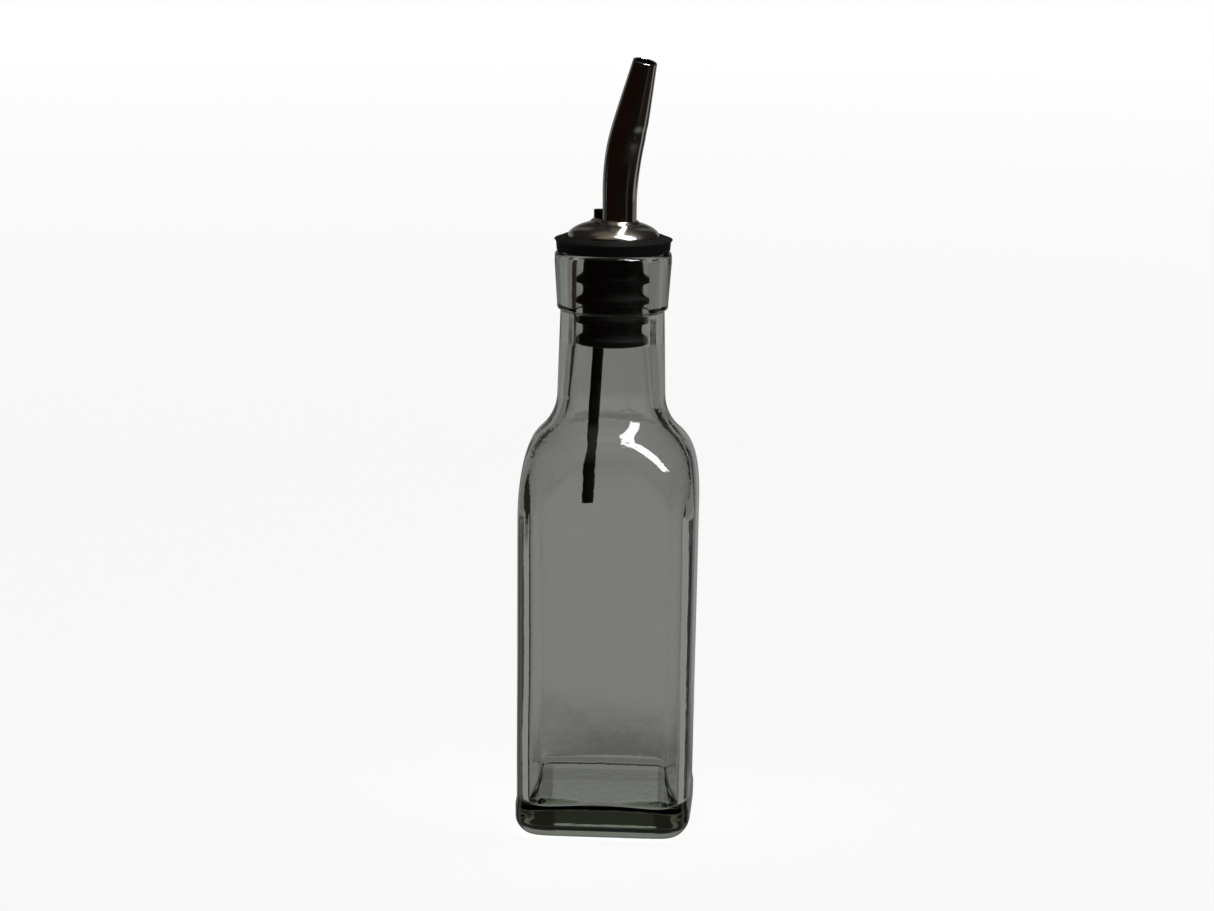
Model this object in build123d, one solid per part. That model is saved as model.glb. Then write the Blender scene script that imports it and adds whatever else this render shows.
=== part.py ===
from build123d import *
import math
import os

# Square glass oil bottle with a ribbed rubber stopper and a metal pouring head.
# Millimetres.  +Z is up, the origin is the centre of the base's resting plane, and the bottle's
# front face looks along -Y.

# ---- glass bottle: outside ----
BASE_HALF = 22.5            # half-width across the flats at the foot
BODY_HALF = 23.0            # half-width across the flats under the shoulder
BODY_CORNER = 7.0           # radius of the upright corners
HEEL_RADIUS = 4.2           # rounding between the walls and the underside
SHOULDER_LOW = 84.1         # height where the shoulder leaves the straight walls
SHOULDER_TOP = 114.3        # height where it meets the neck
SHOULDER_HOLLOW = 11.3      # radius of the hollow curve under the neck
NECK_LOW_RADIUS = 14.0
NECK_TOP_RADIUS = 13.45
RIM_TOP = 151.3             # the glass ends here
COLLAR_LOW = RIM_TOP - 15.2     # underside of the thick collar round the mouth
COLLAR_TURN = 2.2           # height over which the collar turns in to the neck
COLLAR_LOW_RADIUS = 14.4
COLLAR_RADIUS = 15.1
COLLAR_STRAIGHT = 3.0       # upright part of the collar under the rim
RIM_OUTER_ROUND = 1.5
RIM_INNER_ROUND = 0.8
PUSH_UP_DEPTH = 0.4         # hollow under the base
PUSH_UP_RADIUS = 16.0

# ---- glass bottle: inside ----
MOUTH_RADIUS = 9.45         # straight mouth that the stopper's ribs fill
MOUTH_DEPTH = 24.1
THROAT_RADIUS = 10.7        # bore at the foot of the neck
THROAT_TOP = SHOULDER_TOP
CAVITY_HALF = 20.5
CAVITY_FOOT_HALF = 20.2
CAVITY_CORNER = 6.4
CAVITY_FLOOR = 9.0
CAVITY_COVE = 1.5
CAVITY_SHOULDER_LOW = SHOULDER_LOW
CAVITY_HOLLOW = SHOULDER_HOLLOW + NECK_LOW_RADIUS - THROAT_RADIUS

# ---- rubber stopper ----
FLANGE_GAP = 0.05           # under the flange, above the glass
FLANGE_TOP = RIM_TOP + 3.0      # height of the lip
FLANGE_CREST = 1.0          # how far the flange's top rises from the lip in to the dome
FLANGE_FOOT_RADIUS = 14.6
FLANGE_LIP_RADIUS = 15.3
FLANGE_LIP = 0.6            # height of the thin lip that stands out at the top
RECESS_RADIUS = 12.2        # round pocket for the dome
RECESS_FLOOR = FLANGE_TOP - 1.6
RIB_RADIUS = 9.4
RIB_EDGE = 1.2              # thickness of a rib at its rim
RIB_TOP = RIM_TOP - 6.6     # height of the highest rib
RIB_PITCH = 5.4
RIB_COUNT = 4
GROOVE_RADIUS = 7.7
STOPPER_LOW = RIM_TOP - 24.0
SLEEVE_BORE = 6.95

# ---- hard core inside the stopper ----
CORE_RADIUS = 6.9
CORE_LOW = STOPPER_LOW - 0.3
CORE_HEAD_RADIUS = 10.8
CORE_HEAD_LOW = RECESS_FLOOR + 0.05
CORE_HEAD_TOP = CORE_HEAD_LOW + 1.45
TUBE_GAP = 0.03             # round each tube where it passes through another piece

# ---- dome cap ----
DOME_RADIUS = 11.9
DOME_LOW = RECESS_FLOOR + 0.1
DOME_SPRING = FLANGE_TOP + 0.5  # height where the upright rim turns into the dome
DOME_RISE = 4.5
DOME_WALL = 0.6
BOSS_WALL = 0.4
BOSS_TOP = DOME_SPRING + DOME_RISE + 0.8
BOSS_FILLET = 0.7

# ---- spout and vent ----
POUR_ANGLE = -34.0          # direction the spout pours in, about +Z from +X
SPOUT_OFFSET = 1.8          # spout axis, forward of the bottle's axis
SPOUT_WALL = 0.5
SPOUT_RADIUS = 4.4          # at the dome
SPIGOT_RADIUS = 3.75        # narrow part held in the core
SPIGOT_LOW = RIM_TOP - 12.6
SPOUT_SEAT = CORE_HEAD_TOP + 0.05
BEND_LOW = RIM_TOP + 13.4
BEND_RADIUS = 60.0
BEND_ANGLE = 15.0
BELLY_RADIUS = 4.95         # widest, at the end of the bend
NOSE_LENGTH = 20.9          # straight tapered end
NOSE_RADIUS = 3.1
VENT_OFFSET = -4.6          # vent axis, behind the bottle's axis
VENT_RADIUS = 1.5
VENT_BORE = 0.9
VENT_TOP = RIM_TOP + 10.2
VENT_LOW = 84.5
VENT_LEAN_TOP = STOPPER_LOW + 0.4   # the vent tube hangs straight to here, then leans outwards
VENT_LEAN = 3.7

CORNER_SHARE = math.sqrt(2) - 1
SOFTNESS = 5                # how sharply the round shoulder meets the flat walls
SHOULDER_STEPS = 12         # lofted bands in the shoulder
ROUND_STEP = 1.0            # degrees of the short arcs that stand in for sides on a round section


def corner_distance(half, corner):
    """Distance from the axis to the corner of a rounded square."""
    return half * math.sqrt(2) - CORNER_SHARE * corner


def section(half, corner, z):
    """Rounded square of eight edges: an upright side, then a corner, four times."""
    reach = half - corner
    edges = []
    for turn in range(4):
        side = Line((half, -reach), (half, reach))
        arc = CenterArc((reach, reach), corner, 0, 90)
        edges += [Rot(0, 0, 90 * turn) * side, Rot(0, 0, 90 * turn) * arc]
    return Pos(0, 0, z) * Face(Wire(edges))


def soft_least(first, second):
    """The smaller of two lengths, rounded off where they come close."""
    return (first ** -SOFTNESS + second ** -SOFTNESS) ** (-1 / SOFTNESS)


def round_section(radius, z):
    """Circle split like section(), so that the two can be lofted together."""
    edges = []
    for turn in range(4):
        start = 90 * turn - ROUND_STEP
        edges.append(CenterArc((0, 0), radius, start, 2 * ROUND_STEP))
        edges.append(CenterArc((0, 0), radius, start + 2 * ROUND_STEP, 90 - 2 * ROUND_STEP))
    return Pos(0, 0, z) * Face(Wire(edges))


def shoulder(neck, top, hollow, half, corner, low):
    """Loft from a round neck down to square walls, along a hollow arc and then a full one."""
    reach = corner_distance(half, corner)
    across, drop = reach - neck, top - low
    full = (across ** 2 + drop ** 2) / (2 * across) - hollow
    turn = top - drop * hollow / (hollow + full)
    flat = (half ** -SOFTNESS - reach ** -SOFTNESS) ** (-1 / SOFTNESS)
    shortfall = neck / soft_least(neck, flat) - 1
    sections = [section(half, corner, low)]
    for step in range(1, SHOULDER_STEPS):
        share = step / SHOULDER_STEPS
        z = low + drop * share
        if z > turn:
            radius = neck + hollow - math.sqrt(hollow ** 2 - (top - z) ** 2)
        else:
            radius = reach - full + math.sqrt(full ** 2 - (z - low) ** 2)
        width = soft_least(radius, flat) * (1 + shortfall * share)
        sections.append(section(width, (width * math.sqrt(2) - radius) / CORNER_SHARE, z))
    sections.append(round_section(neck, top))
    return loft(sections)


def walls(foot_half, half, corner, low, top, foot_round):
    """Tapered square prism with a rounded foot."""
    prism = loft([section(foot_half, corner, low), section(half, corner, top)])
    return fillet(prism.edges().group_by(Axis.Z)[0], foot_round)


def turned(*lines):
    """Solid of revolution about Z from a closed outline drawn as (radius, height)."""
    return revolve(Plane.XZ * make_face(lines), Axis.Z)


def neck_outside():
    turn_top = COLLAR_LOW + COLLAR_TURN
    body = turned(
        Polyline((0, SHOULDER_TOP), (NECK_LOW_RADIUS, SHOULDER_TOP), (NECK_TOP_RADIUS, COLLAR_LOW)),
        Spline([(NECK_TOP_RADIUS, COLLAR_LOW), (COLLAR_LOW_RADIUS, turn_top)],
               tangents=[(1, 0.35), (0.05, 1)]),
        Polyline((COLLAR_LOW_RADIUS, turn_top), (COLLAR_RADIUS, RIM_TOP - COLLAR_STRAIGHT),
                 (COLLAR_RADIUS, RIM_TOP), (0, RIM_TOP), (0, SHOULDER_TOP)),
    )
    return fillet(body.edges().group_by(Axis.Z)[-1], RIM_OUTER_ROUND)


def bore():
    mouth_low = RIM_TOP - MOUTH_DEPTH
    flare = MOUTH_RADIUS + RIM_INNER_ROUND
    return turned(
        Polyline((0, THROAT_TOP), (THROAT_RADIUS, THROAT_TOP), (MOUTH_RADIUS, mouth_low),
                 (MOUTH_RADIUS, RIM_TOP - RIM_INNER_ROUND)),
        CenterArc((flare, RIM_TOP - RIM_INNER_ROUND), RIM_INNER_ROUND, 180, -90),
        Polyline((flare, RIM_TOP), (flare, RIM_TOP + 1), (0, RIM_TOP + 1), (0, THROAT_TOP)),
    )


def push_up():
    """Shallow hollow under the base, a slice of a large ball."""
    ball = (PUSH_UP_RADIUS ** 2 + PUSH_UP_DEPTH ** 2) / (2 * PUSH_UP_DEPTH)
    return Pos(0, 0, PUSH_UP_DEPTH - ball) * Sphere(ball)


def glass_bottle():
    outside = walls(BASE_HALF, BODY_HALF, BODY_CORNER, 0, SHOULDER_LOW, HEEL_RADIUS)
    outside += shoulder(NECK_LOW_RADIUS, SHOULDER_TOP, SHOULDER_HOLLOW,
                        BODY_HALF, BODY_CORNER, SHOULDER_LOW)
    outside += neck_outside()
    inside = walls(CAVITY_FOOT_HALF, CAVITY_HALF, CAVITY_CORNER,
                   CAVITY_FLOOR, CAVITY_SHOULDER_LOW, CAVITY_COVE)
    inside += shoulder(THROAT_RADIUS, THROAT_TOP, CAVITY_HOLLOW,
                       CAVITY_HALF, CAVITY_CORNER, CAVITY_SHOULDER_LOW)
    inside += bore()
    return outside - inside - push_up()


def rubber_stopper():
    """Soft sleeve: a flange that caps the glass, and ribs that seal in the mouth."""
    foot = RIM_TOP + FLANGE_GAP
    lines = []
    z = RIB_TOP - (RIB_COUNT - 1) * RIB_PITCH - RIB_EDGE / 2
    lines.append(Polyline((SLEEVE_BORE, STOPPER_LOW), (GROOVE_RADIUS + 0.6, STOPPER_LOW),
                          (RIB_RADIUS, z), (RIB_RADIUS, z + RIB_EDGE)))
    for _ in range(RIB_COUNT - 1):
        start, end = z + RIB_EDGE, z + RIB_PITCH
        lines.append(ThreePointArc((RIB_RADIUS, start), (GROOVE_RADIUS, (start + end) / 2),
                                   (RIB_RADIUS, end)))
        lines.append(Line((RIB_RADIUS, end), (RIB_RADIUS, end + RIB_EDGE)))
        z = end
    neck_round = RIB_RADIUS - GROOVE_RADIUS
    start = z + RIB_EDGE
    lines.append(CenterArc((RIB_RADIUS, start + neck_round), neck_round, -90, -90))
    lines.append(Line((GROOVE_RADIUS, start + neck_round), (GROOVE_RADIUS, foot - neck_round)))
    lines.append(CenterArc((RIB_RADIUS, foot - neck_round), neck_round, 180, -90))
    lines.append(Polyline((RIB_RADIUS, foot), (FLANGE_FOOT_RADIUS, foot),
                          (FLANGE_FOOT_RADIUS + 0.2, FLANGE_TOP - FLANGE_LIP),
                          (FLANGE_LIP_RADIUS, FLANGE_TOP),
                          (RECESS_RADIUS + 0.4, FLANGE_TOP + FLANGE_CREST),
                          (RECESS_RADIUS, FLANGE_TOP + FLANGE_CREST - 0.2),
                          (RECESS_RADIUS, RECESS_FLOOR), (SLEEVE_BORE, RECESS_FLOOR),
                          (SLEEVE_BORE, STOPPER_LOW)))
    return turned(*lines)


def pour_frame(shape):
    """Turn a shape made with the spout pouring along +X into its place on the bottle."""
    return Rot(0, 0, POUR_ANGLE) * shape


def rod(offset, radius, low, top):
    """Upright cylinder on an axis moved along the pouring direction."""
    return Pos(offset, 0, low) * Cylinder(radius, top - low,
                                          align=(Align.CENTER, Align.CENTER, Align.MIN))


def stopper_core():
    """Hard plug inside the sleeve, which holds both tubes and carries the dome on its head."""
    core = turned(Polyline((0, CORE_LOW), (CORE_RADIUS, CORE_LOW), (CORE_RADIUS, CORE_HEAD_LOW),
                           (CORE_HEAD_RADIUS, CORE_HEAD_LOW), (CORE_HEAD_RADIUS, CORE_HEAD_TOP),
                           (0, CORE_HEAD_TOP), (0, CORE_LOW)))
    core -= rod(SPOUT_OFFSET, SPIGOT_RADIUS + TUBE_GAP, SPIGOT_LOW, CORE_HEAD_TOP)
    core -= rod(SPOUT_OFFSET, SPIGOT_RADIUS - SPOUT_WALL, CORE_LOW, SPIGOT_LOW)
    core -= rod(VENT_OFFSET, VENT_RADIUS + TUBE_GAP, CORE_LOW, CORE_HEAD_TOP)
    return pour_frame(core)


def tube_outline(margin):
    """Pear-shaped outline round the spout and the vent."""
    rings = Pos(SPOUT_OFFSET, 0) * Circle(SPOUT_RADIUS + margin)
    rings += Pos(VENT_OFFSET, 0) * Circle(VENT_RADIUS + margin)
    return make_hull(rings.edges())


def dome(radius, rise, low):
    return turned(Polyline((0, DOME_SPRING + rise), (0, low), (radius, low), (radius, DOME_SPRING)),
                  EllipticalCenterArc((0, DOME_SPRING), radius, rise, start_angle=0, arc_size=90))


def dome_cap():
    """Pressed metal cap with a raised boss that hugs both tubes."""
    boss = Pos(0, 0, DOME_SPRING) * extrude(tube_outline(BOSS_WALL), BOSS_TOP - DOME_SPRING)
    cap = dome(DOME_RADIUS, DOME_RISE, DOME_LOW) + boss
    foot = [edge for edge in cap.edges()
            if edge.center().Z < BOSS_TOP - 0.1 and edge.bounding_box().min.Z > DOME_SPRING + 1]
    cap = fillet(foot, BOSS_FILLET)
    cap -= dome(DOME_RADIUS - DOME_WALL, DOME_RISE - DOME_WALL, DOME_LOW - 1)
    cap -= extrude(Pos(0, 0, DOME_LOW) * tube_outline(TUBE_GAP), BOSS_TOP - DOME_LOW + 1)
    return pour_frame(cap)


def spout_section(along, radius):
    """Circle across the spout's centre line, at a distance along it from the foot of the bend."""
    bend_length = BEND_RADIUS * math.radians(BEND_ANGLE)
    angle = math.degrees(min(along, bend_length) / BEND_RADIUS)
    x = SPOUT_OFFSET + BEND_RADIUS * (1 - math.cos(math.radians(angle)))
    z = BEND_LOW + BEND_RADIUS * math.sin(math.radians(angle))
    past = max(0.0, along - bend_length)
    x += past * math.sin(math.radians(angle))
    z += past * math.cos(math.radians(angle))
    return Pos(x, 0, z) * Rot(0, angle, 0) * Circle(radius)


def spout_body(inset):
    """Solid bar in the spout's shape, made smaller by inset all round and at its foot."""
    bend_length = BEND_RADIUS * math.radians(BEND_ANGLE)
    base, belly, nose = SPOUT_RADIUS - inset, BELLY_RADIUS - inset, NOSE_RADIUS - inset
    rise = belly - base
    lower = loft([spout_section(bend_length * t, base + rise * t) for t in (0, 0.25, 0.5, 0.75, 1)])
    upper = loft([spout_section(bend_length, belly), spout_section(bend_length + NOSE_LENGTH, nose)])
    return rod(SPOUT_OFFSET, base, SPOUT_SEAT + inset, BEND_LOW) + lower + upper


def spout():
    """Bent tapering tube with a narrow spigot that goes down into the core."""
    spigot = rod(SPOUT_OFFSET, SPIGOT_RADIUS, SPIGOT_LOW + TUBE_GAP, SPOUT_SEAT)
    passage = rod(SPOUT_OFFSET, SPIGOT_RADIUS - SPOUT_WALL, SPIGOT_LOW, SPOUT_SEAT + SPOUT_WALL)
    return pour_frame(spout_body(0) + spigot - spout_body(SPOUT_WALL) - passage)


def vent_tube():
    """Thin straw that lets air into the bottle behind the oil."""
    lean = math.tan(math.radians(VENT_LEAN)) * (VENT_LEAN_TOP - VENT_LOW)
    path = Polyline((VENT_OFFSET, 0, VENT_TOP), (VENT_OFFSET, 0, VENT_LEAN_TOP),
                    (VENT_OFFSET - lean, 0, VENT_LOW))
    ring = Circle(VENT_RADIUS) - Circle(VENT_BORE)
    tube = sweep(Plane(origin=path @ 0, z_dir=path % 0) * ring, path, transition=Transition.ROUND)
    return pour_frame(tube)


def main():
    os.makedirs("parts", exist_ok=True)
    pieces = {
        "glass_bottle": glass_bottle(),
        "rubber_stopper": rubber_stopper(),
        "stopper_core": stopper_core(),
        "dome_cap": dome_cap(),
        "spout": spout(),
        "vent_tube": vent_tube(),
    }
    for name, shape in pieces.items():
        export_step(shape, f"parts/{name}.step")


main()
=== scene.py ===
import math

import bpy
import numpy as np
from mathutils import Matrix, Vector, noise


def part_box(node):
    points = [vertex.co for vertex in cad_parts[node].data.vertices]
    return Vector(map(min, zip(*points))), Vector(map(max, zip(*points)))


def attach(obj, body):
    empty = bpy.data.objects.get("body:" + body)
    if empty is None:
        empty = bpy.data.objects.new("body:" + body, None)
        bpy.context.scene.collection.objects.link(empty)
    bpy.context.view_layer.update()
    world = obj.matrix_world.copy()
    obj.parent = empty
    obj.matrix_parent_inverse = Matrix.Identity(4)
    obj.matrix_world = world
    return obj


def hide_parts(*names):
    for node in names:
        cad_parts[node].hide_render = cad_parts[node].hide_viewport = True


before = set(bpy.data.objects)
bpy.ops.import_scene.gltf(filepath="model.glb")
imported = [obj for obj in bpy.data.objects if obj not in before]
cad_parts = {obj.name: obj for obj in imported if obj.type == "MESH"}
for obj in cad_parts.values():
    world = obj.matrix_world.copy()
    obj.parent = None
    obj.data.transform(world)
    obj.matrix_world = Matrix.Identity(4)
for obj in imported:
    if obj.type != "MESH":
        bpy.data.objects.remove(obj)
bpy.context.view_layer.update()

# A square glass oil bottle with a ribbed rubber stopper and a polished pouring head.
# Shapes are worked out in millimetres in the bottle's frame: +Z up, the front face towards -Y,
# the origin in the middle of the resting plane.  They become metres when a mesh is made.

MM = 0.001


def high(node_name):
    """Height of a CAD node's top, in millimetres."""
    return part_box(node_name)[1].z / MM


# ---- glass, outside ----
BODY_HALF = 23.0
FOOT_HALF = 22.5
BODY_CORNER = 7.0
FOOT_CORNER = 7.8
HEEL = 4.2
FOOT_BULGE = 0.4            # the foot below the mould's parting line stands out this much
PARTING_LINE = 8.6
SHOULDER_LOW = 84.1
SHOULDER_TOP = 114.3
SHOULDER_HOLLOW = 11.3
NECK_LOW_RADIUS = 14.0
NECK_TOP_RADIUS = 13.45
RIM_TOP = high("glass_bottle")
COLLAR_LOW = RIM_TOP - 15.2
COLLAR_TURN = 2.2
COLLAR_LOW_RADIUS = 14.4
COLLAR_RADIUS = 15.1
COLLAR_STRAIGHT = 3.0
RIM_OUTER_ROUND = 1.5
RIM_INNER_ROUND = 0.8
PUSH_UP_DEPTH = 0.03        # all but flat underneath
PUSH_UP_RADIUS = 16.0

# ---- glass, inside ----
MOUTH_RADIUS = 9.45
MOUTH_LOW = RIM_TOP - 24.1
THROAT_RADIUS = 10.7
THROAT_TOP = SHOULDER_TOP
CAVITY_HALF = 20.5
CAVITY_FOOT_HALF = 20.2
CAVITY_CORNER = 6.4
CAVITY_FLOOR = 9.0
CAVITY_COVE = 0.9
FLOOR_ARCH = 0.8            # how far the cavity's floor sinks towards its front corners
CAVITY_SHOULDER_LOW = SHOULDER_LOW
CAVITY_HOLLOW = SHOULDER_HOLLOW + NECK_LOW_RADIUS - THROAT_RADIUS
INNER_WAVE = 0.22           # how far the blown inner wall wanders
OUTER_WAVE = 0.03
WAVE_LENGTH = 26.0
WAVE_SEED = 3.7
STREAK_FOOT = 86.0          # heights between which faint streaks on the shoulder come and go
STREAK_LOW = 94.0
STREAK_HIGH = 108.0
STREAK_TOP = 113.0

# ---- rubber stopper ----
FLANGE_FOOT = RIM_TOP + 0.05
FLANGE_TOP = RIM_TOP + 3.0
FLANGE_CREST = 1.0
FLANGE_FOOT_RADIUS = 14.6
FLANGE_LIP_RADIUS = 15.3
FLANGE_LIP = 0.6
RECESS_RADIUS = 12.2
RECESS_FLOOR = FLANGE_TOP - 1.6
RIB_RADIUS = 9.4
RIB_EDGE = 1.2
RIB_TOP = RIM_TOP - 6.6
RIB_PITCH = 5.4
RIB_COUNT = 4
RIB_ROUND = 0.45
RIB_FLANK = 0.75            # rise of a rib's sloping side
GROOVE_RADIUS = 7.7
GROOVE_ROUND = 1.6
STOPPER_LOW = RIM_TOP - 24.0
SLEEVE_BORE = 6.95

# ---- dome ----
DOME_RADIUS = 11.9
DOME_LOW = RECESS_FLOOR + 0.1
DOME_SPRING = FLANGE_TOP + 0.5
DOME_RISE = 4.5
DOME_WALL = 0.6
BOSS_WALL = 0.4
BOSS_RISE = 0.55            # raised edge round the two tubes
BOSS_FLARE = 1.1
BOSS_SKIRT = 1.4            # how far the wall round the tubes reaches down

# ---- spout and vent ----
POUR_ANGLE = math.radians(-34.0)
SPOUT_OFFSET = 1.8
SPOUT_WALL = 0.5
SPOUT_RADIUS = 4.4
SPOUT_LOW = RECESS_FLOOR + 1.55
BEND_LOW = RIM_TOP + 13.4
BEND_RADIUS = 60.0
BEND_ANGLE = math.radians(15.0)
BELLY_RADIUS = 4.95
BELLY_SHARPNESS = 14        # the higher, the less the widest place is softened
NOSE_LENGTH = 20.9
NOSE_RADIUS = 3.1
VENT_OFFSET = -4.6
VENT_RADIUS = 1.5
VENT_BORE = 0.9
VENT_TOP = high("vent_tube")
VENT_LOW = 84.5
VENT_LEAN_TOP = STOPPER_LOW + 0.4
VENT_LEAN = math.radians(3.7)

CORNER_SHARE = math.sqrt(2) - 1   # how far a rounded corner of radius 1 falls short of a sharp one
SOFTNESS = 5                      # power of the soft least that blends the shoulder into the walls


# ------------------------------------------------------------------ mesh helpers

def add_piece(name, points, faces, material, body, node_name):
    """Smooth mesh from points in millimetres that stands for a CAD node and rides on its body."""
    mesh = bpy.data.meshes.new(name)
    mesh.from_pydata((np.asarray(points) * MM).tolist(), [], faces)
    mesh.shade_smooth()
    mesh.materials.append(material)
    piece = bpy.data.objects.new(name, mesh)
    bpy.context.scene.collection.objects.link(piece)
    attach(piece, body)
    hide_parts(node_name)
    return piece


def band_faces(rings, around, looped=False):
    """Quads between neighbouring rings of points; looped joins the last ring to the first."""
    faces = []
    for ring in range(rings if looped else rings - 1):
        low, up = ring * around, (ring + 1) % rings * around
        for i in range(around):
            j = (i + 1) % around
            faces.append((low + i, low + j, up + j, up + i))
    return faces


def closing_fans(rings, around):
    """Triangles to a first and a last centre point, which follow the rings in the list of points."""
    first, last = rings * around, rings * around + 1
    top = (rings - 1) * around
    faces = []
    for i in range(around):
        j = (i + 1) % around
        faces.append((first, j, i))
        faces.append((last, top + i, top + j))
    return faces


def rounded(corners, steps=6):
    """Path through (x, y, radius) corners, each rounded by a short curve."""
    path = []
    for index, (x, y, radius) in enumerate(corners):
        here = np.array((x, y))
        if radius == 0 or index in (0, len(corners) - 1):
            path.append(here)
            continue
        back = np.array(corners[index - 1][:2]) - here
        ahead = np.array(corners[index + 1][:2]) - here
        back_length, ahead_length = np.linalg.norm(back), np.linalg.norm(ahead)
        cosine = np.clip(back @ ahead / (back_length * ahead_length), -1, 1)
        cut = radius / math.tan(math.acos(cosine) / 2)
        cut = min(cut, 0.49 * back_length, 0.49 * ahead_length)
        start, end = here + back * cut / back_length, here + ahead * cut / ahead_length
        for t in np.linspace(0, 1, steps):
            path.append((1 - t) ** 2 * start + 2 * t * (1 - t) * here + t ** 2 * end)
    return np.array(path)


def split_long(path, longest):
    """The same path with its long stretches cut into shorter ones."""
    out = [path[0]]
    for start, end in zip(path[:-1], path[1:]):
        parts = max(1, math.ceil(np.linalg.norm(end - start) / longest))
        out += [start + (end - start) * k / parts for k in range(1, parts + 1)]
    return np.array(out)


def lathe(outline, around):
    """Points of a closed (radius, height) outline turned about the Z axis."""
    angles = np.linspace(0, 2 * math.pi, around, endpoint=False)
    rings = [np.stack([r * np.cos(angles), r * np.sin(angles), np.full(around, z)], 1)
             for r, z in outline]
    return np.concatenate(rings)


def soft_step(low, high_end, value):
    """0 below low, 1 above high_end and a smooth rise between."""
    t = np.clip((value - low) / (high_end - low), 0, 1)
    return t * t * (3 - 2 * t)


# ------------------------------------------------------------------ glass bottle

GLASS_AROUND = 208
CORNER_CROWDING = 0.5       # how much closer together the points lie at the upright corners


def soft_least(first, second):
    """About the smaller of two sizes, without a corner where they change places."""
    return (first ** -SOFTNESS + second ** -SOFTNESS) ** (-1 / SOFTNESS)


def circle_rows(path):
    """Rows of (half-width, corner radius, height) that are round."""
    return [(r, r, z) for r, z in path]


def shoulder_rows(neck, top, hollow, half, corner, low, count):
    """Rows from square walls up to a round neck, along a full arc and then a hollow one."""
    reach = half * math.sqrt(2) - CORNER_SHARE * corner
    across, drop = reach - neck, top - low
    full = (across ** 2 + drop ** 2) / (2 * across) - hollow
    turn = top - drop * hollow / (hollow + full)
    flat = (half ** -SOFTNESS - reach ** -SOFTNESS) ** (-1 / SOFTNESS)
    shortfall = neck / soft_least(neck, flat) - 1
    rows = []
    for share in np.linspace(0, 1, count + 1)[1:-1]:
        z = low + drop * share
        if z > turn:
            radius = neck + hollow - math.sqrt(hollow ** 2 - (top - z) ** 2)
        else:
            radius = reach - full + math.sqrt(full ** 2 - (z - low) ** 2)
        width = soft_least(radius, flat) * (1 + shortfall * share)
        rows.append((width, (width * math.sqrt(2) - radius) / CORNER_SHARE, z))
    return rows


def foot_rows():
    """Underside, from near the centre out over the resting band and round the heel."""
    rows = []
    for t in np.linspace(0, 1, 10)[1:]:
        r = PUSH_UP_RADIUS * t
        rows.append((r, r, PUSH_UP_DEPTH * (1 - t * t)))
    for t in np.linspace(0, 1, 5)[1:]:
        half = PUSH_UP_RADIUS + (FOOT_HALF - HEEL - PUSH_UP_RADIUS) * t
        corner = PUSH_UP_RADIUS + (FOOT_CORNER - HEEL - PUSH_UP_RADIUS) * t
        rows.append((half, corner, 0.0))
    for turn in np.linspace(0, math.pi / 2, 12)[1:]:
        inset = HEEL * (1 - math.sin(turn))
        rows.append((FOOT_HALF - inset, FOOT_CORNER - inset, HEEL * (1 - math.cos(turn))))
    return rows


def wall_rows(foot_half, half, corner, low, top, spacing=1.5):
    count = round((top - low) / spacing)
    return [(foot_half + (half - foot_half) * t, corner, low + (top - low) * t)
            for t in np.linspace(0, 1, count + 1)]


def outer_neck_path():
    turn_top = COLLAR_LOW + COLLAR_TURN
    path = rounded([
        (NECK_LOW_RADIUS, SHOULDER_TOP, 0),
        (NECK_TOP_RADIUS, COLLAR_LOW, 0.5),
        (COLLAR_LOW_RADIUS - 0.1, COLLAR_LOW + 0.35, 1.0),
        (COLLAR_LOW_RADIUS, turn_top, 0),
        (COLLAR_RADIUS, RIM_TOP - COLLAR_STRAIGHT, 3.0),
        (COLLAR_RADIUS, RIM_TOP, RIM_OUTER_ROUND),
        (MOUTH_RADIUS, RIM_TOP, RIM_INNER_ROUND),
        (MOUTH_RADIUS, MOUTH_LOW, 4.0),
        (THROAT_RADIUS, THROAT_TOP, 0),
    ], steps=9)
    return split_long(path, 1.2)


def cavity_floor_rows():
    """Cove round the cavity's foot, then the floor in to near the centre."""
    rows = []
    for turn in np.linspace(math.pi / 2, 0, 11)[1:]:
        inset = CAVITY_COVE * (1 - math.sin(turn))
        rise = CAVITY_COVE * (1 - math.cos(turn))
        corner = CAVITY_CORNER - 0.8 * inset
        rows.append((CAVITY_FOOT_HALF - inset, corner, CAVITY_FLOOR + rise))
    half, corner, _ = rows[-1]
    for t in np.linspace(1, 0, 10)[1:-1]:
        rows.append((half * t, (corner + (half - corner) * (1 - t)) * t, CAVITY_FLOOR))
    return rows


def polar_radius(half, corner, angle):
    """Distance from the axis to a rounded square, for rows of sizes and columns of angles."""
    quarter = math.pi / 2
    slant = np.abs((angle + quarter / 2) % quarter - quarter / 2)
    reach = half - corner
    along = reach * (np.cos(slant) + np.sin(slant))
    arc = along + np.sqrt(np.maximum(along ** 2 - 2 * reach ** 2 + corner ** 2, 0))
    return np.where(half * np.tan(slant) <= reach, half / np.cos(slant), arc)


def soft_radius(half, corner, angle):
    """As polar_radius, but with corners that swell gently out of the sides."""
    reach = (half - corner) * math.sqrt(2) + corner
    power = 1 / (0.5 - np.log2(reach / half))
    return half * (np.abs(np.cos(angle)) ** power + np.abs(np.sin(angle)) ** power) ** (-1 / power)


def waves(points):
    """How the surface wanders at each point, from -1 to 1: smooth, the same in every run."""
    shift = Vector((WAVE_SEED, -WAVE_SEED, WAVE_SEED))
    return np.array([noise.noise(Vector(p) / WAVE_LENGTH + shift) for p in points])


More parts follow.
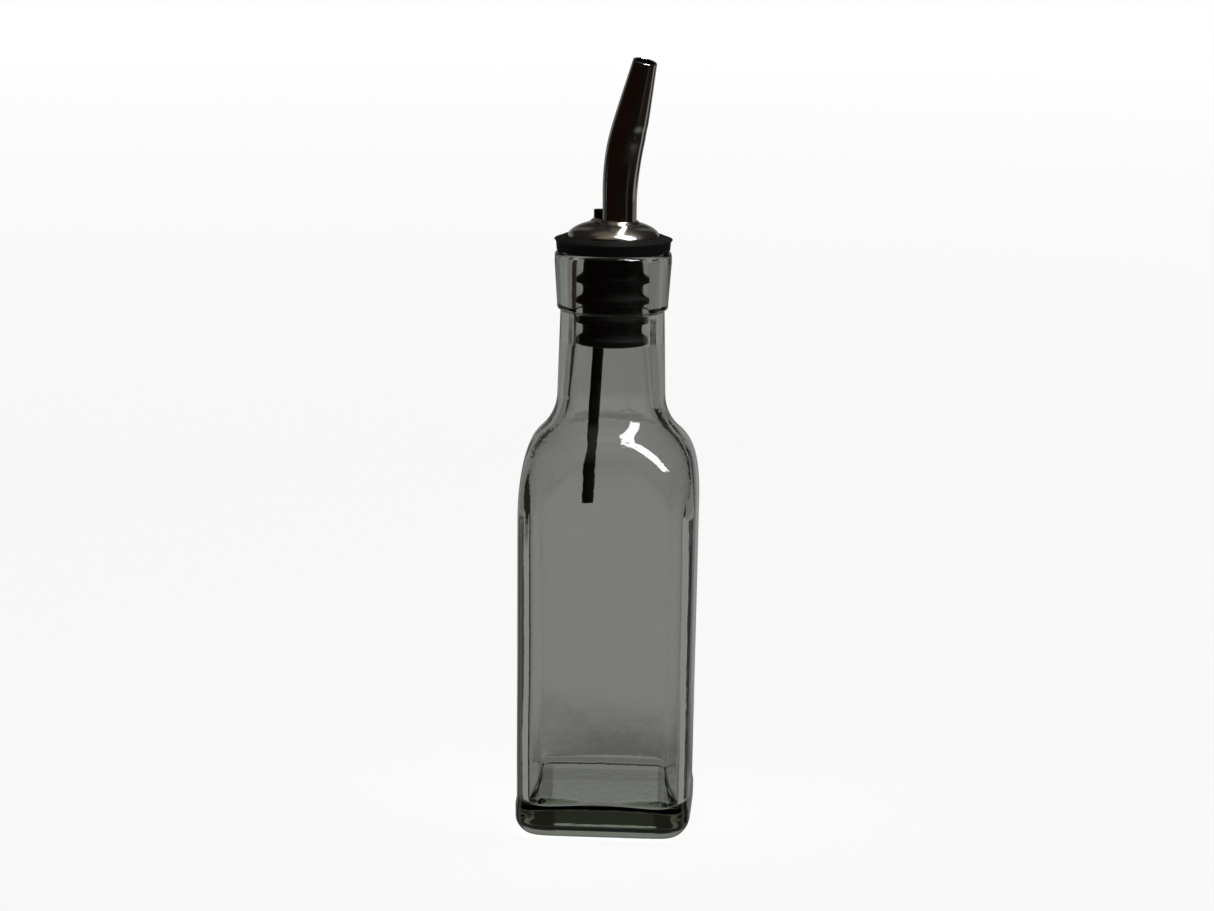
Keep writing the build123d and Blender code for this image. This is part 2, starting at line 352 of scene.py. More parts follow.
def glass_points(rows, outside_rows):
    """One ring of points for each row, closer together at the corners; the outside rows are soft."""
    even = np.linspace(0, 2 * math.pi, GLASS_AROUND, endpoint=False)
    angles = (even + CORNER_CROWDING / 4 * np.sin(4 * even))[None, :]
    half, corner, z = rows[:, 0:1], rows[:, 1:2], rows[:, 2:3]
    radius = polar_radius(half, corner, angles)
    radius[:outside_rows] = soft_radius(half[:outside_rows], corner[:outside_rows], angles)
    return np.stack([radius * np.cos(angles), radius * np.sin(angles),
                     np.broadcast_to(z, radius.shape)], 2).reshape(-1, 3)


def glass_body(material):
    """The bottle as one closed surface: up the outside, over the rim and down the inside."""
    outer = foot_rows()
    for half, corner, z in wall_rows(FOOT_HALF, BODY_HALF, BODY_CORNER, HEEL, SHOULDER_LOW)[1:]:
        rounder = 1 - float(soft_step(HEEL, PARTING_LINE + 3, z))
        outer.append((half, corner + (FOOT_CORNER - BODY_CORNER) * rounder, z))
    outer += shoulder_rows(NECK_LOW_RADIUS, SHOULDER_TOP, SHOULDER_HOLLOW,
                           BODY_HALF, BODY_CORNER, SHOULDER_LOW, 40)
    inner = wall_rows(CAVITY_FOOT_HALF, CAVITY_HALF, CAVITY_CORNER,
                      CAVITY_FLOOR + CAVITY_COVE, CAVITY_SHOULDER_LOW)
    inner += shoulder_rows(THROAT_RADIUS, THROAT_TOP, CAVITY_HOLLOW,
                           CAVITY_HALF, CAVITY_CORNER, CAVITY_SHOULDER_LOW, 40)
    inner = inner[::-1] + cavity_floor_rows()
    rows = np.array(outer + circle_rows(outer_neck_path()) + inner)
    points = glass_points(rows, len(rows) - len(inner))
    points = with_waves(points, len(outer) * GLASS_AROUND)
    points = arched_floor(points, len(rows) - len(inner))
    centres = [(0, 0, PUSH_UP_DEPTH), (0, 0, points[-1][2])]
    faces = band_faces(len(rows), GLASS_AROUND) + closing_fans(len(rows), GLASS_AROUND)
    return add_piece("glass_body", np.concatenate([points, centres]), faces, material,
                     "bottle", "glass_bottle")


def with_waves(points, outer_count):
    """Let the walls wander, the inner one more, but not the neck; let the foot stand out a little."""
    z = points[:, 2]
    calm = soft_step(HEEL, HEEL + 8, z) * (1 - soft_step(SHOULDER_TOP - 22, SHOULDER_TOP - 4, z))
    foot = soft_step(0, HEEL, z) * (1 - soft_step(PARTING_LINE - 1.2, PARTING_LINE, z))
    outward = points[:, :2] / np.maximum(np.linalg.norm(points[:, :2], axis=1), 1e-6)[:, None]
    outside = np.arange(len(points)) < outer_count
    size = np.where(outside, OUTER_WAVE, INNER_WAVE)
    shift = waves(points) * size * calm - np.where(outside, OUTER_WAVE * calm, 0)
    shift += np.where(outside, FOOT_BULGE * foot, 0)
    out = points.copy()
    out[:, :2] += outward * shift[:, None]
    return out


def arched_floor(points, first_inner_ring):
    """Sink the cavity's floor towards its two front corners."""
    out = points.copy()
    inner = out[first_inner_ring * GLASS_AROUND:]
    towards_corner = np.sin(2 * np.arctan2(inner[:, 1], inner[:, 0])) ** 2
    away = np.linalg.norm(inner[:, :2], axis=1) / CAVITY_HALF
    near_floor = 1 - soft_step(CAVITY_FLOOR + 2, CAVITY_FLOOR + 16, inner[:, 2])
    in_front = 1 - soft_step(-20, -15.5, inner[:, 1])
    inner[:, 2] -= FLOOR_ARCH * towards_corner * np.minimum(away, 1) ** 2 * near_floor * in_front
    return out


# ------------------------------------------------------------------ rubber stopper

RUBBER_AROUND = 160


def stopper_outline():
    """Closed outline, up the outside from the tapered foot to the flange and down the sleeve."""
    low_rib = RIB_TOP - (RIB_COUNT - 1) * RIB_PITCH - RIB_EDGE / 2
    corners = [(SLEEVE_BORE + 0.3, STOPPER_LOW, 0), (GROOVE_RADIUS + 0.6, STOPPER_LOW, 0.5)]
    for rib in range(RIB_COUNT):
        low = low_rib + rib * RIB_PITCH
        corners += [(RIB_RADIUS, low, RIB_ROUND), (RIB_RADIUS, low + RIB_EDGE, RIB_ROUND)]
        if rib < RIB_COUNT - 1:
            corners += [(GROOVE_RADIUS, low + RIB_EDGE + RIB_FLANK, GROOVE_ROUND),
                        (GROOVE_RADIUS, low + RIB_PITCH - RIB_FLANK, GROOVE_ROUND)]
    corners += [
        (GROOVE_RADIUS, low_rib + (RIB_COUNT - 1) * RIB_PITCH + RIB_EDGE + 1.0, 1.2),
        (GROOVE_RADIUS, FLANGE_FOOT - 0.2, 0.9),
        (RIB_RADIUS + 0.2, FLANGE_FOOT, 0.3),
        (FLANGE_FOOT_RADIUS, FLANGE_FOOT, 0.45),
        (FLANGE_FOOT_RADIUS + 0.2, FLANGE_TOP - FLANGE_LIP, 0.5),
        (FLANGE_LIP_RADIUS, FLANGE_TOP, 0.12),
        (RECESS_RADIUS + 0.4, FLANGE_TOP + FLANGE_CREST, 0.35),
        (RECESS_RADIUS, FLANGE_TOP + FLANGE_CREST - 0.3, 0.2),
        (RECESS_RADIUS, RECESS_FLOOR, 0.2),
        (SLEEVE_BORE, RECESS_FLOOR, 0.2),
        (SLEEVE_BORE, STOPPER_LOW + 0.3, 0),
    ]
    return split_long(rounded(corners), 0.9)


def rubber_sleeve(material):
    outline = stopper_outline()
    points = lathe(outline, RUBBER_AROUND)
    faces = band_faces(len(outline), RUBBER_AROUND, looped=True)
    return add_piece("rubber_sleeve", points, faces, material,
                     "stopper", "rubber_stopper")


# ------------------------------------------------------------------ dome

DOME_AROUND = 160


def pour_turn(points):
    """Turn points made with the spout pouring along +X into their place on the bottle."""
    cosine, sine = math.cos(POUR_ANGLE), math.sin(POUR_ANGLE)
    points = np.asarray(points, float)
    return np.stack([points[:, 0] * cosine - points[:, 1] * sine,
                     points[:, 0] * sine + points[:, 1] * cosine, points[:, 2]], 1)


def pear_distance(x, y):
    """Distance outside the pear-shaped outline that wraps the spout and the vent."""
    span = SPOUT_OFFSET - VENT_OFFSET
    lean = (SPOUT_RADIUS - VENT_RADIUS) / span
    cosine = math.sqrt(1 - lean * lean)
    px, py = SPOUT_OFFSET - x, abs(y)
    along = px * cosine - py * lean
    if along < 0:
        return math.hypot(px, py) - SPOUT_RADIUS
    if along > span * cosine:
        return math.hypot(px - span, py) - VENT_RADIUS
    return px * lean + py * cosine - SPOUT_RADIUS


def pear_radius(angle, margin):
    """Distance from the dome's axis to the pear-shaped outline, grown by margin."""
    low, top = 0.0, DOME_RADIUS + 4
    for _ in range(40):
        middle = (low + top) / 2
        if pear_distance(middle * math.cos(angle), middle * math.sin(angle)) < margin:
            low = middle
        else:
            top = middle
    return low


def dome_height(radius, rise, reach):
    return DOME_SPRING + rise * math.sqrt(max(0.0, 1 - (radius / reach) ** 2))


def dome_outer_height(x, y):
    """Height of the cap's outer surface: the dome with its raised edge flared into it."""
    plain = dome_height(math.hypot(x, y), DOME_RISE, DOME_RADIUS)
    flare = float(soft_step(BOSS_WALL * 0.6, BOSS_WALL + BOSS_FLARE, pear_distance(x, y)))
    return plain + BOSS_RISE * (1 - flare) ** 1.6


def metal_dome(material):
    """Pressed shell: from the boss's inner edge out over the dome, round the rim and back inside."""
    angles = np.linspace(0, 2 * math.pi, DOME_AROUND, endpoint=False)
    inner_reach, inner_rise = DOME_RADIUS - DOME_WALL, DOME_RISE - DOME_WALL
    columns = []
    for angle in angles:
        cosine, sine = math.cos(angle), math.sin(angle)
        hole = pear_radius(angle, 0.03)
        edge = dome_outer_height(hole * cosine, hole * sine)
        column = [(hole, edge - BOSS_SKIRT), (hole, edge - 0.25), (hole + 0.04, edge - 0.07)]
        for t in np.linspace(0, 1, 34):
            radius = hole + 0.12 + (DOME_RADIUS - hole - 0.12) * math.sin(t * math.pi / 2) ** 1.3
            column.append((radius, dome_outer_height(radius * cosine, radius * sine)))
        column += [(DOME_RADIUS, DOME_SPRING - 0.6), (DOME_RADIUS, DOME_LOW + 0.25),
                   (DOME_RADIUS - 0.15, DOME_LOW), (inner_reach + 0.1, DOME_LOW),
                   (inner_reach, DOME_LOW + 0.25), (inner_reach, DOME_SPRING - 0.4)]
        for t in np.linspace(1, 0, 12):
            radius = hole + (inner_reach - hole) * math.sin(t * math.pi / 2)
            inside = dome_height(radius, inner_rise, inner_reach)
            column.append((radius, min(inside, edge - BOSS_SKIRT - 0.05)))
        columns.append([(r * cosine, r * sine, z) for r, z in column])
    points = np.array(columns).transpose(1, 0, 2).reshape(-1, 3)
    faces = band_faces(len(columns[0]), DOME_AROUND, looped=True)
    faces = [face[::-1] for face in faces]
    return add_piece("metal_dome", pour_turn(points), faces, material,
                     "pourer_head", "dome_cap")


# ------------------------------------------------------------------ spout and vent

SPOUT_AROUND = 128
DENT_DEPTH = 0.16           # crease pressed into the inside of the bend
DENT_HALF_LENGTH = 1.5
DENT_RISE = 2.9             # how far above the widest place the crease lies
FLAT_DEPTH = 0.10           # flattened stretch under the crease
FLAT_HALF_LENGTH = 5.0


def bent_centre(along):
    """Centre and lean of the spout at a distance from the foot of its bend."""
    bend_length = BEND_RADIUS * BEND_ANGLE
    lean = min(max(along, 0.0), bend_length) / BEND_RADIUS
    x = SPOUT_OFFSET + BEND_RADIUS * (1 - math.cos(lean))
    z = BEND_LOW + BEND_RADIUS * math.sin(lean) + min(along, 0.0)
    past = max(0.0, along - bend_length)
    return x + past * math.sin(lean), z + past * math.cos(lean), lean


def spout_radius(along):
    """Round radius along the spout, with the widest place softened."""
    bend_length = BEND_RADIUS * BEND_ANGLE
    swell = SPOUT_RADIUS + (BELLY_RADIUS - SPOUT_RADIUS) * max(0.0, along) / bend_length
    taper = BELLY_RADIUS - (BELLY_RADIUS - NOSE_RADIUS) * (along - bend_length) / NOSE_LENGTH
    return float((swell ** -BELLY_SHARPNESS + taper ** -BELLY_SHARPNESS) ** (-1 / BELLY_SHARPNESS))


def dent(along, angle):
    """How far the inside of the bend is pushed in."""
    from_crease = along - BEND_RADIUS * BEND_ANGLE - DENT_RISE
    side = np.cos(angle)
    crease = DENT_DEPTH * math.exp(-(from_crease / DENT_HALF_LENGTH) ** 2)
    flat = FLAT_DEPTH * math.exp(-((from_crease + FLAT_HALF_LENGTH) / FLAT_HALF_LENGTH) ** 2)
    narrow = soft_step(0.6, 1.0, side)
    wide = soft_step(0.0, 1.0, side)
    return crease * narrow + flat * wide


def spout_ring(along, inset):
    x, z, lean = bent_centre(along)
    angle = np.linspace(0, 2 * math.pi, SPOUT_AROUND, endpoint=False)
    radius = spout_radius(along) - inset - dent(along, angle)
    across = radius * np.cos(angle)
    return np.stack([x + across * math.cos(lean), radius * np.sin(angle),
                     z - across * math.sin(lean)], 1)


def pouring_spout(material):
    foot = SPOUT_LOW - BEND_LOW
    tip = BEND_RADIUS * BEND_ANGLE + NOSE_LENGTH
    lip = 0.22
    rings = [spout_ring(along, 0) for along in np.linspace(foot, tip - lip, 88)]
    for turn in np.linspace(0, math.pi, 9)[1:-1]:
        inset = (SPOUT_WALL / 2) * (1 - math.cos(turn))
        rings.append(spout_ring(tip - lip + lip * math.sin(turn), inset))
    rings += [spout_ring(along, SPOUT_WALL) for along in np.linspace(tip - lip, foot, 60)]
    points = pour_turn(np.concatenate(rings))
    faces = band_faces(len(rings), SPOUT_AROUND, looped=True)
    return add_piece("pouring_spout", points, faces, material,
                     "pourer_head", "spout")


def vent_ring(x, z, lean, radius, around):
    angle = np.linspace(0, 2 * math.pi, around, endpoint=False)
    across = radius * np.cos(angle)
    return np.stack([x + across * math.cos(lean), radius * np.sin(angle),
                     z + across * math.sin(lean)], 1)


def vent_straw(material):
    """Thin tube, upright down to the stopper's foot and then leaning outwards."""
    around = 40
    stations = []
    for z in np.linspace(VENT_TOP, VENT_LOW, 90):
        drop = max(0.0, VENT_LEAN_TOP - z)
        lean = VENT_LEAN * float(soft_step(0, 3, drop))
        x = VENT_OFFSET - math.tan(VENT_LEAN) * max(0.0, drop - 1.5 * (1 - math.exp(-drop)))
        stations.append((x, z, -lean))
    rings = []
    for x, z, lean in stations:
        rings.append(vent_ring(x, z, lean, VENT_RADIUS, around))
    for x, z, lean in stations[::-1]:
        rings.append(vent_ring(x, z, lean, VENT_BORE, around))
    points = pour_turn(np.concatenate(rings))
    faces = [face[::-1] for face in band_faces(len(rings), around, looped=True)]
    return add_piece("vent_straw", points, faces, material,
                     "pourer_head", "vent_tube")


# ------------------------------------------------------------------ materials

def add_node(tree, kind, inputs=None, **settings):
    """New node with its settings, and its inputs set to values or joined to sockets."""
    made = tree.nodes.new(kind)
    for name, value in settings.items():
        setattr(made, name, value)
    for key, value in (inputs or {}).items():
        if isinstance(value, bpy.types.NodeSocket):
            tree.links.new(value, made.inputs[key])
        else:
            made.inputs[key].default_value = value
    return made


def new_material(name):
    material = bpy.data.materials.new(name)
    material.use_nodes = True
    tree = material.node_tree
    tree.nodes.clear()
    return material, tree


def place_on_piece(tree):
    """Where a point lies in the piece's own metres."""
    return add_node(tree, "ShaderNodeTexCoord").outputs["Object"]


def height_on_piece(tree):
    return add_node(tree, "ShaderNodeSeparateXYZ", {0: place_on_piece(tree)}).outputs["Z"]


def noise_field(tree, scale, detail=3.0, stretch=(1, 1, 1)):
    """Noise over a piece; a stretch below 1 draws it out along that axis."""
    place = place_on_piece(tree)
    mapped = add_node(tree, "ShaderNodeMapping", {"Vector": place, "Scale": stretch})
    field = add_node(tree, "ShaderNodeTexNoise",
                     {"Vector": mapped.outputs[0], "Scale": scale, "Detail": detail})
    return field.outputs["Fac"]


def spread(tree, value, low, high_end, to_low, to_high):
    """Map a value from one range to another, held at the ends."""
    return add_node(tree, "ShaderNodeMapRange", {
        "Value": value, "From Min": low, "From Max": high_end,
        "To Min": to_low, "To Max": to_high}).outputs["Result"]


def blend_colours(tree, factor, first, second):
    mix = add_node(tree, "ShaderNodeMix", data_type="RGBA")
    tree.links.new(factor, mix.inputs["Factor"])
    for socket, value in ((mix.inputs[6], first), (mix.inputs[7], second)):
        if isinstance(value, bpy.types.NodeSocket):
            tree.links.new(value, socket)
        else:
            socket.default_value = (*value, 1)
    return mix.outputs[2]


def bumped(tree, height, strength, distance, under=None):
    """Normal tilted by a height field, on top of another bump if there is one."""
    inputs = {"Height": height, "Strength": strength, "Distance": distance}
    if under is not None:
        inputs["Normal"] = under
    return add_node(tree, "ShaderNodeBump", inputs).outputs["Normal"]


def clear_glass():
    """Grey-green clear glass with faint ripples; lamps shine through it."""
    material, tree = new_material("clear_glass")
    tint = blend_colours(tree, noise_field(tree, 45), (0.915, 0.922, 0.915), (0.94, 0.943, 0.938))
    ripple = noise_field(tree, 330, stretch=(1, 1, 0.5))
    streaks = noise_field(tree, 520, detail=2.0, stretch=(0.35, 0.35, 1.5))
    height = height_on_piece(tree)
    on_shoulder = add_node(tree, "ShaderNodeMath", {
        0: spread(tree, height, STREAK_FOOT * MM, STREAK_LOW * MM, 0.0, 1.0),
        1: spread(tree, height, STREAK_HIGH * MM, STREAK_TOP * MM, 0.3, 0.0)},
        operation="MULTIPLY").outputs[0]
    streaked = bumped(tree, streaks, on_shoulder, 0.0002)
    glass = add_node(tree, "ShaderNodeBsdfPrincipled", {
        "Base Color": tint,
        "Roughness": spread(tree, noise_field(tree, 60), 0.55, 0.8, 0.0, 0.03),
        "IOR": 1.5,
        "Transmission Weight": 1.0,
        "Normal": bumped(tree, ripple, 0.07, 0.00028, streaked),
    })
    through = add_node(tree, "ShaderNodeBsdfTransparent", {"Color": (0.86, 0.88, 0.87, 1)})
    path = add_node(tree, "ShaderNodeLightPath")
    mix = add_node(tree, "ShaderNodeMixShader", {
        0: path.outputs["Is Shadow Ray"], 1: glass.outputs[0], 2: through.outputs[0]})
    depth = add_node(tree, "ShaderNodeVolumeAbsorption", {
        "Color": (0.80, 0.855, 0.79, 1), "Density": 50.0})
    add_node(tree, "ShaderNodeOutputMaterial", {
        "Surface": mix.outputs[0], "Volume": depth.outputs[0]})
    return material


def black_rubber():
    """Dull black rubber with a little dust, and faces that look up painted lighter as painted top
    light.
    """
    material, tree = new_material("black_rubber")
    mottle = noise_field(tree, 320, detail=5.0)
    dust = spread(tree, noise_field(tree, 1500, detail=4.0), 0.62, 0.75, 0.0, 1.0)
    base = blend_colours(tree, mottle, (0.0012, 0.0011, 0.0011), (0.0040, 0.0036, 0.0034))
    speckled = blend_colours(tree, dust, base, (0.012, 0.0112, 0.0105))
    normal = add_node(tree, "ShaderNodeNewGeometry").outputs["Normal"]
    upward = add_node(tree, "ShaderNodeSeparateXYZ", {0: normal}).outputs["Z"]
    # Painted top light: faces that look up are painted lighter, as if lit from above.
    painted_top_light = spread(tree, upward, 0.75, 0.98, 0.0, 1.0)
    colour = blend_colours(tree, painted_top_light, speckled, (0.022, 0.021, 0.020))
    rubber = add_node(tree, "ShaderNodeBsdfPrincipled", {
        "Base Color": colour,
        "Roughness": spread(tree, mottle, 0.3, 0.7, 0.5, 0.72),
        "Specular IOR Level": 0.11,
        "Normal": bumped(tree, noise_field(tree, 2600), 0.25, 0.00006),
    })
    add_node(tree, "ShaderNodeOutputMaterial", {"Surface": rubber.outputs[0]})
    return material


def black_plastic():
    """Smooth black plastic with faint lengthwise marks."""
    material, tree = new_material("black_plastic")
    mottle = noise_field(tree, 260, detail=4.0, stretch=(1, 1, 0.25))
    colour = blend_colours(tree, mottle, (0.0015, 0.0014, 0.0014), (0.0055, 0.0040, 0.0034))
    plastic = add_node(tree, "ShaderNodeBsdfPrincipled", {
        "Base Color": colour,
        "Roughness": spread(tree, mottle, 0.3, 0.7, 0.32, 0.5),
        "Specular IOR Level": 0.22,
        "Normal": bumped(tree, noise_field(tree, 900, stretch=(1, 1, 0.2)), 0.1, 0.0001),
    })
    add_node(tree, "ShaderNodeOutputMaterial", {"Surface": plastic.outputs[0]})
    return material


def polished_steel():
    """Stainless steel with hair-fine marks and faint smudges, less polished on the dome."""
    material, tree = new_material("polished_steel")
    hairs = noise_field(tree, 5200, detail=2.0, stretch=(1, 1, 0.08))
    smudge = noise_field(tree, 170, detail=4.0)
    dome_top = (DOME_SPRING + DOME_RISE) * MM
    on_dome = spread(tree, height_on_piece(tree), dome_top, dome_top + MM, 0.07, 0.0)
    roughness = add_node(tree, "ShaderNodeMath", {
        0: spread(tree, smudge, 0.3, 0.75, 0.08, 0.17), 1: on_dome}).outputs[0]
    colour = blend_colours(tree, smudge, (0.56, 0.54, 0.51), (0.66, 0.645, 0.62))
    steel = add_node(tree, "ShaderNodeBsdfPrincipled", {
        "Base Color": colour,
        "Metallic": 1.0,
        "Roughness": roughness,
        "Normal": bumped(tree, hairs, 0.06, 0.00003),
    })
    add_node(tree, "ShaderNodeOutputMaterial", {"Surface": steel.outputs[0]})
    return material


# ------------------------------------------------------------------ stage, light and camera

FLOOR_DROP = 0.0001
FLOOR_RADIUS = 3.0
FLOOR_FADE = (0.5, 2.4)
WHITE = 1.0

# Room seen in the glass and the steel.  Each patch: azimuth from straight behind the bottle, positive
# to the right, and its half-width; lowest and highest elevation; softness; all in degrees; colour.
# Each patch lies over the ones before it.
ROOM_DARK = (0.0070, 0.0050, 0.0037)
ROOM = {
    "left_red": (-130, 50, -40, 30, 12, (0.0095, 0.0044, 0.0034)),
    "upper_room": (0, 118, 9, 62, 8, (0.020, 0.017, 0.014)),
    "cornice_left": (-23, 5, 14, 43.5, 3, (0.12, 0.117, 0.108)),
    "cornice_right": (15.5, 4, 15, 40, 3, (0.135, 0.132, 0.125)),
    "table": (-1, 79, -90, -7, 3, (0.280, 0.281, 0.272)),
    "table_shade": (-44, 10, -40, -10, 4, (0.060, 0.060, 0.054)),
    "fold": (0, 30, -18, -15.4, 1.7, (0.148, 0.144, 0.137)),
    "under_floor": (0, 30, -90, -16.38, 0.25, (0.258, 0.259, 0.248)),
    "right_brown": (98, 25, -32, -16.5, 4, (0.018, 0.013, 0.008)),
    "under_bottle": (0, 181, -95, -30, 10, (0.23, 0.232, 0.215)),
    "table_behind": (0, 30, -48, -17.3, 0.6, (0.178, 0.178, 0.168)),
    "backdrop": (-14, 39, -9.5, 13, 5, (0.246, 0.247, 0.239)),
    "card": (-3.6, 2.6, 11, 20.5, 1.2, (0.28, 0.283, 0.265)),
    "card_top": (-3.6, 2.6, 20.5, 50, 1.2, (0.034, 0.035, 0.028)),
    "left_pale": (-43, 11, -9.5, 19, 4, (0.172, 0.172, 0.162)),
    "left_wood": (-67, 9, -12, 14, 3, (0.017, 0.0095, 0.006)),
    "right_pale": (43, 24, -9.5, 2, 3, (0.178, 0.180, 0.172)),
    "right_shelf": (40, 15.5, -20, -10.8, 1.5, (0.024, 0.028, 0.023)),
    "ceiling": (0, 181, 62, 95, 12, (0.13, 0.112, 0.085)),
    "front_wall_left": (-152, 32, 48, 95, 12, (0.20, 0.17, 0.125)),
    "front_wall_right": (160, 24, 50, 95, 12, (0.17, 0.15, 0.115)),
    "narrow_door": (129, 6, -22, -3, 4, (0.042, 0.036, 0.031)),
}

# Pale paper on every side of the bottle, seen only by rays that cross both of its walls and are
# never reflected.  It starts this many degrees to each side of straight behind.
PAPER_START = 22
PAPER_TOP = 22              # elevation
PAPER_SOFTNESS = 5
PAPER = (0.262, 0.263, 0.252)
WALL_CROSSINGS = 4          # into and out of the glass, twice


def studio_floor():
    """Pale round floor that fades to white far away, seen by the camera and by soft light only."""
    around = 96
    angles = np.linspace(0, 2 * math.pi, around, endpoint=False)
    radii = (0.15, 0.6, FLOOR_RADIUS)
    rings = [np.stack([r * np.cos(angles), r * np.sin(angles), np.full(around, -FLOOR_DROP)], 1)
             for r in radii]
    points = np.concatenate(rings + [np.array([(0, 0, -FLOOR_DROP)])])
    faces = [face[::-1] for face in band_faces(len(radii), around)]
    faces += [(len(points) - 1, i, (i + 1) % around) for i in range(around)]
    mesh = bpy.data.meshes.new("studio_floor")
    mesh.from_pydata(points.tolist(), [], faces)
    mesh.materials.append(floor_paper())
    floor = bpy.data.objects.new("studio_floor", mesh)
    bpy.context.scene.collection.objects.link(floor)
    floor.visible_glossy = False
    floor.visible_transmission = False


def floor_paper():
    material, tree = new_material("floor_paper")
    away = add_node(tree, "ShaderNodeVectorMath", {
        0: place_on_piece(tree)}, operation="LENGTH").outputs["Value"]
    fade = spread(tree, away, FLOOR_FADE[0], FLOOR_FADE[1], 0.0, 1.0)
    fibre = noise_field(tree, 900, detail=4.0)
    colour = blend_colours(tree, fibre, (0.16, 0.16, 0.16), (0.17, 0.17, 0.17))
    paper = add_node(tree, "ShaderNodeBsdfDiffuse", {"Color": colour})
    glow = add_node(tree, "ShaderNodeEmission", {"Color": (1, 1, 1, 1), "Strength": 0.9})
    both = add_node(tree, "ShaderNodeAddShader", {0: paper.outputs[0], 1: glow.outputs[0]})
    white = add_node(tree, "ShaderNodeEmission", {"Color": (1, 1, 1, 1), "Strength": WHITE})
    mix = add_node(tree, "ShaderNodeMixShader", {0: fade, 1: both.outputs[0], 2: white.outputs[0]})
    add_node(tree, "ShaderNodeOutputMaterial", {"Surface": mix.outputs[0]})
    return material


def within(tree, value, low, high_end, softness):
    """1 where a value in degrees lies between two others, with soft edges."""
    half = softness / 2
    rise = add_node(tree, "ShaderNodeMapRange", {
        "Value": value, "From Min": low - half, "From Max": low + half},
        interpolation_type="SMOOTHSTEP").outputs["Result"]
    fall = add_node(tree, "ShaderNodeMapRange", {
        "Value": value, "From Min": high_end - half, "From Max": high_end + half,
        "To Min": 1.0, "To Max": 0.0}, interpolation_type="SMOOTHSTEP").outputs["Result"]
    return product(tree, rise, fall)


def product(tree, first, second):
    return add_node(tree, "ShaderNodeMath", {0: first, 1: second}, operation="MULTIPLY").outputs[0]


def same(tree, value, number):
    """1 where a counted value is this number, else 0."""
    return add_node(tree, "ShaderNodeMath", {0: value, 1: number, 2: 0.5},
                    operation="COMPARE").outputs[0]


def degrees(tree, radians):
    return product(tree, radians, 180 / math.pi)


def straight_through(tree):
    """1 for rays that crossed both walls of the bottle and were never reflected."""
    path = add_node(tree, "ShaderNodeLightPath").outputs
    crossed = same(tree, path["Transmission Depth"], WALL_CROSSINGS)
    unreflected = same(tree, path["Glossy Depth"], 0)
    return product(tree, crossed, unreflected)


def on_paper(tree, azimuth, elevation):
    """1 where a ray meets the paper, with soft edges."""
    behind = within(tree, azimuth, -PAPER_START, PAPER_START, PAPER_SOFTNESS)
    beside = add_node(tree, "ShaderNodeMath", {0: 1.0, 1: behind}, operation="SUBTRACT").outputs[0]
    low = spread(tree, elevation, PAPER_TOP - 4, PAPER_TOP + 4, 1.0, 0.0)
    return product(tree, product(tree, beside, low), straight_through(tree))


def room_colour(tree):
    """Colour of the room in each direction, as reflections and refractions meet it."""
    direction = add_node(tree, "ShaderNodeTexCoord").outputs["Generated"]
    parts = add_node(tree, "ShaderNodeSeparateXYZ", {0: direction})
    azimuth = degrees(tree, add_node(tree, "ShaderNodeMath", {
        0: parts.outputs["X"], 1: parts.outputs["Y"]}, operation="ARCTAN2").outputs[0])
    elevation = degrees(tree, add_node(tree, "ShaderNodeMath", {
        0: parts.outputs["Z"]}, operation="ARCSINE").outputs[0])
    colour = add_node(tree, "ShaderNodeRGB").outputs[0]
    colour.default_value = (*ROOM_DARK, 1)
    for centre, half_width, low, top, softness, patch in ROOM.values():
        across = within(tree, azimuth, centre - half_width, centre + half_width, softness)
        up = within(tree, elevation, low, top, softness)
        colour = blend_colours(tree, product(tree, across, up), colour, patch)
    return blend_colours(tree, on_paper(tree, azimuth, elevation), colour, PAPER)


def studio_world():
    """White to the camera; the room to everything that reflects or refracts."""
    world = bpy.data.worlds.new("studio")
    world.use_nodes = True
    tree = world.node_tree
    tree.nodes.clear()
    path = add_node(tree, "ShaderNodeLightPath")
    room = add_node(tree, "ShaderNodeBackground", {"Color": room_colour(tree)})
    white = add_node(tree, "ShaderNodeBackground", {"Color": (WHITE, WHITE, WHITE, 1)})
    mix = add_node(tree, "ShaderNodeMixShader", {
        0: path.outputs["Is Camera Ray"], 1: room.outputs[0], 2: white.outputs[0]})
    add_node(tree, "ShaderNodeOutputWorld", {"Surface": mix.outputs[0]})
    bpy.context.scene.world = world


def lamp(name, azimuth, elevation, distance, width, height, power):
    """Area lamp aimed at the middle of the bottle; azimuth as in ROOM."""
    data = bpy.data.lights.new(name, "AREA")
    data.shape = "RECTANGLE"
    data.size, data.size_y = width, height
    data.energy = power
    a, e = math.radians(azimuth), math.radians(elevation)
    target = Vector((0, 0, 0.1))
    away = Vector((math.sin(a) * math.cos(e), math.cos(a) * math.cos(e), math.sin(e)))
    light = bpy.data.objects.new(name, data)
    light.location = target + away * distance
    light.rotation_mode = "QUATERNION"
    light.rotation_quaternion = away.to_track_quat("Z", "Y")
    light.visible_camera = False
    bpy.context.scene.collection.objects.link(light)
    return light


def studio_lights():
    """A window that gives only highlights, and a softbox that gives only plain light."""
    window = lamp("window", 124, 59, 1.4, 0.42, 1.0, 26)
    window.visible_diffuse = False
    window.visible_transmission = False
    softbox = lamp("softbox", 100, 66, 1.6, 1.2, 1.2, 7)
    softbox.visible_glossy = False
    softbox.visible_transmission = False


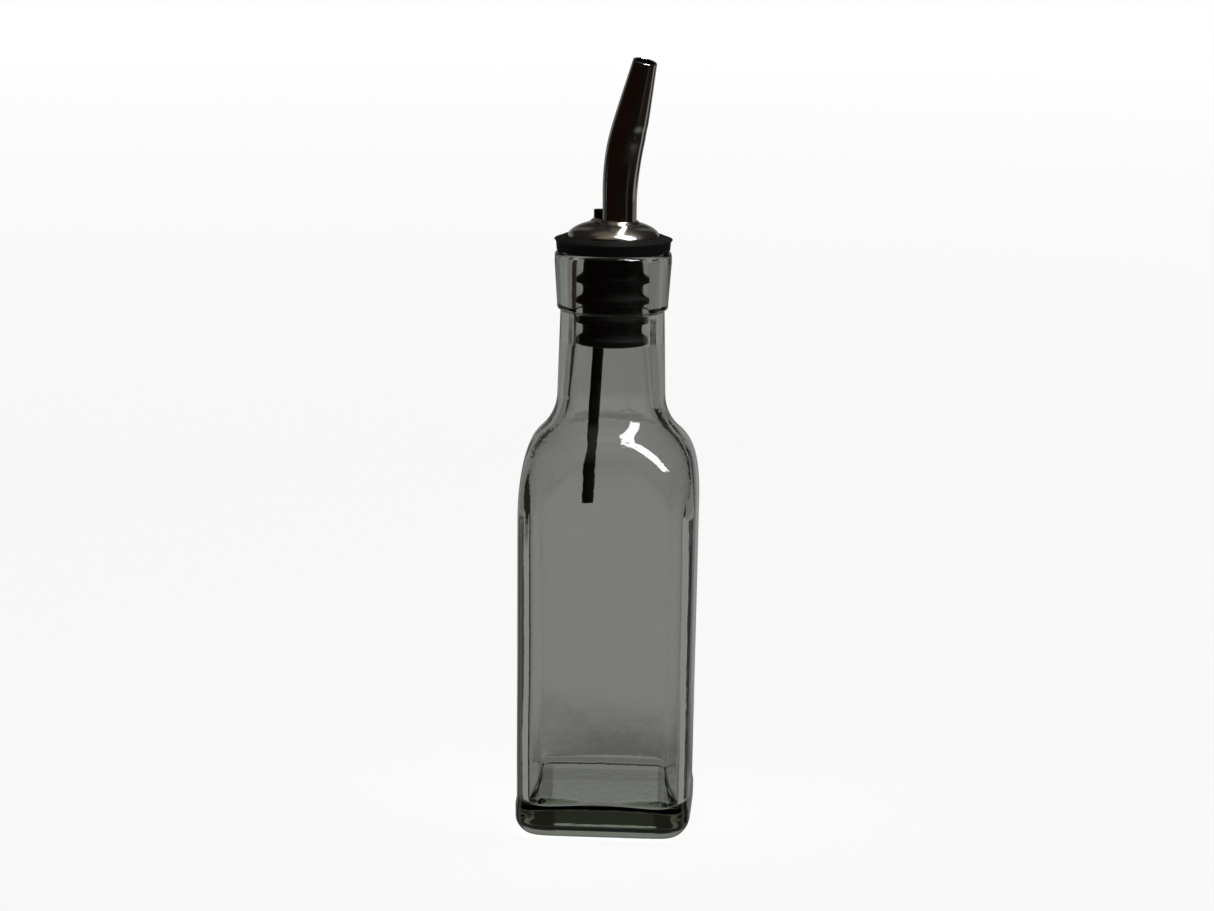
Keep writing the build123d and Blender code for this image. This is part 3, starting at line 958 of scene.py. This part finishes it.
# Camera: across the floor from the bottle's axis and above the floor, in millimetres; its side
# step, pan, downward pitch and roll; its lens for a 36 mm sensor.
CAMERA_DISTANCE = 899.1
CAMERA_HEIGHT = 274.9
CAMERA_SIDE = math.radians(3.25)
CAMERA_PAN = math.radians(0.0563)
CAMERA_PITCH = math.radians(11.16)
CAMERA_ROLL = math.radians(0.83)
CAMERA_LENS = 104.53


def studio_camera():
    """Long-lens camera in front of the bottle, looking slightly down."""
    place = Vector((CAMERA_DISTANCE * math.sin(CAMERA_SIDE),
                    -CAMERA_DISTANCE * math.cos(CAMERA_SIDE), CAMERA_HEIGHT)) * MM
    heading = math.atan2(-place.y, -place.x) + CAMERA_PAN
    ahead = Vector((math.cos(heading) * math.cos(CAMERA_PITCH),
                    math.sin(heading) * math.cos(CAMERA_PITCH), -math.sin(CAMERA_PITCH)))
    right = ahead.cross(Vector((0, 0, 1))).normalized()
    up = right.cross(ahead)
    rolled_right = right * math.cos(CAMERA_ROLL) + up * math.sin(CAMERA_ROLL)
    rolled_up = up * math.cos(CAMERA_ROLL) - right * math.sin(CAMERA_ROLL)
    data = bpy.data.cameras.new("camera")
    data.lens = CAMERA_LENS
    data.sensor_width = 36
    data.clip_start = 0.01
    camera = bpy.data.objects.new("camera", data)
    bpy.context.scene.collection.objects.link(camera)
    turn = Matrix((rolled_right, rolled_up, -ahead)).transposed()
    camera.matrix_world = Matrix.Translation(place) @ turn.to_4x4()
    bpy.context.scene.camera = camera


# ------------------------------------------------------------------ build

def plug_core(material):
    """The hard plug keeps its CAD shape; its edges are softened."""
    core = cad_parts["stopper_core"]
    core.data.materials.clear()
    core.data.materials.append(material)
    bevel = core.modifiers.new("soft_edges", "BEVEL")
    bevel.width = 0.15 * MM
    bevel.segments = 2


def build():
    plastic, steel = black_plastic(), polished_steel()
    glass_body(clear_glass())
    rubber_sleeve(black_rubber())
    metal_dome(steel)
    pouring_spout(steel)
    vent_straw(plastic)
    plug_core(plastic)
    studio_floor()
    studio_world()
    studio_lights()
    studio_camera()
    bpy.context.scene.view_settings.view_transform = "Standard"


def plain(bounds):
    """Two corners as lists, which json can write."""
    return [list(corner) for corner in bounds]


build()
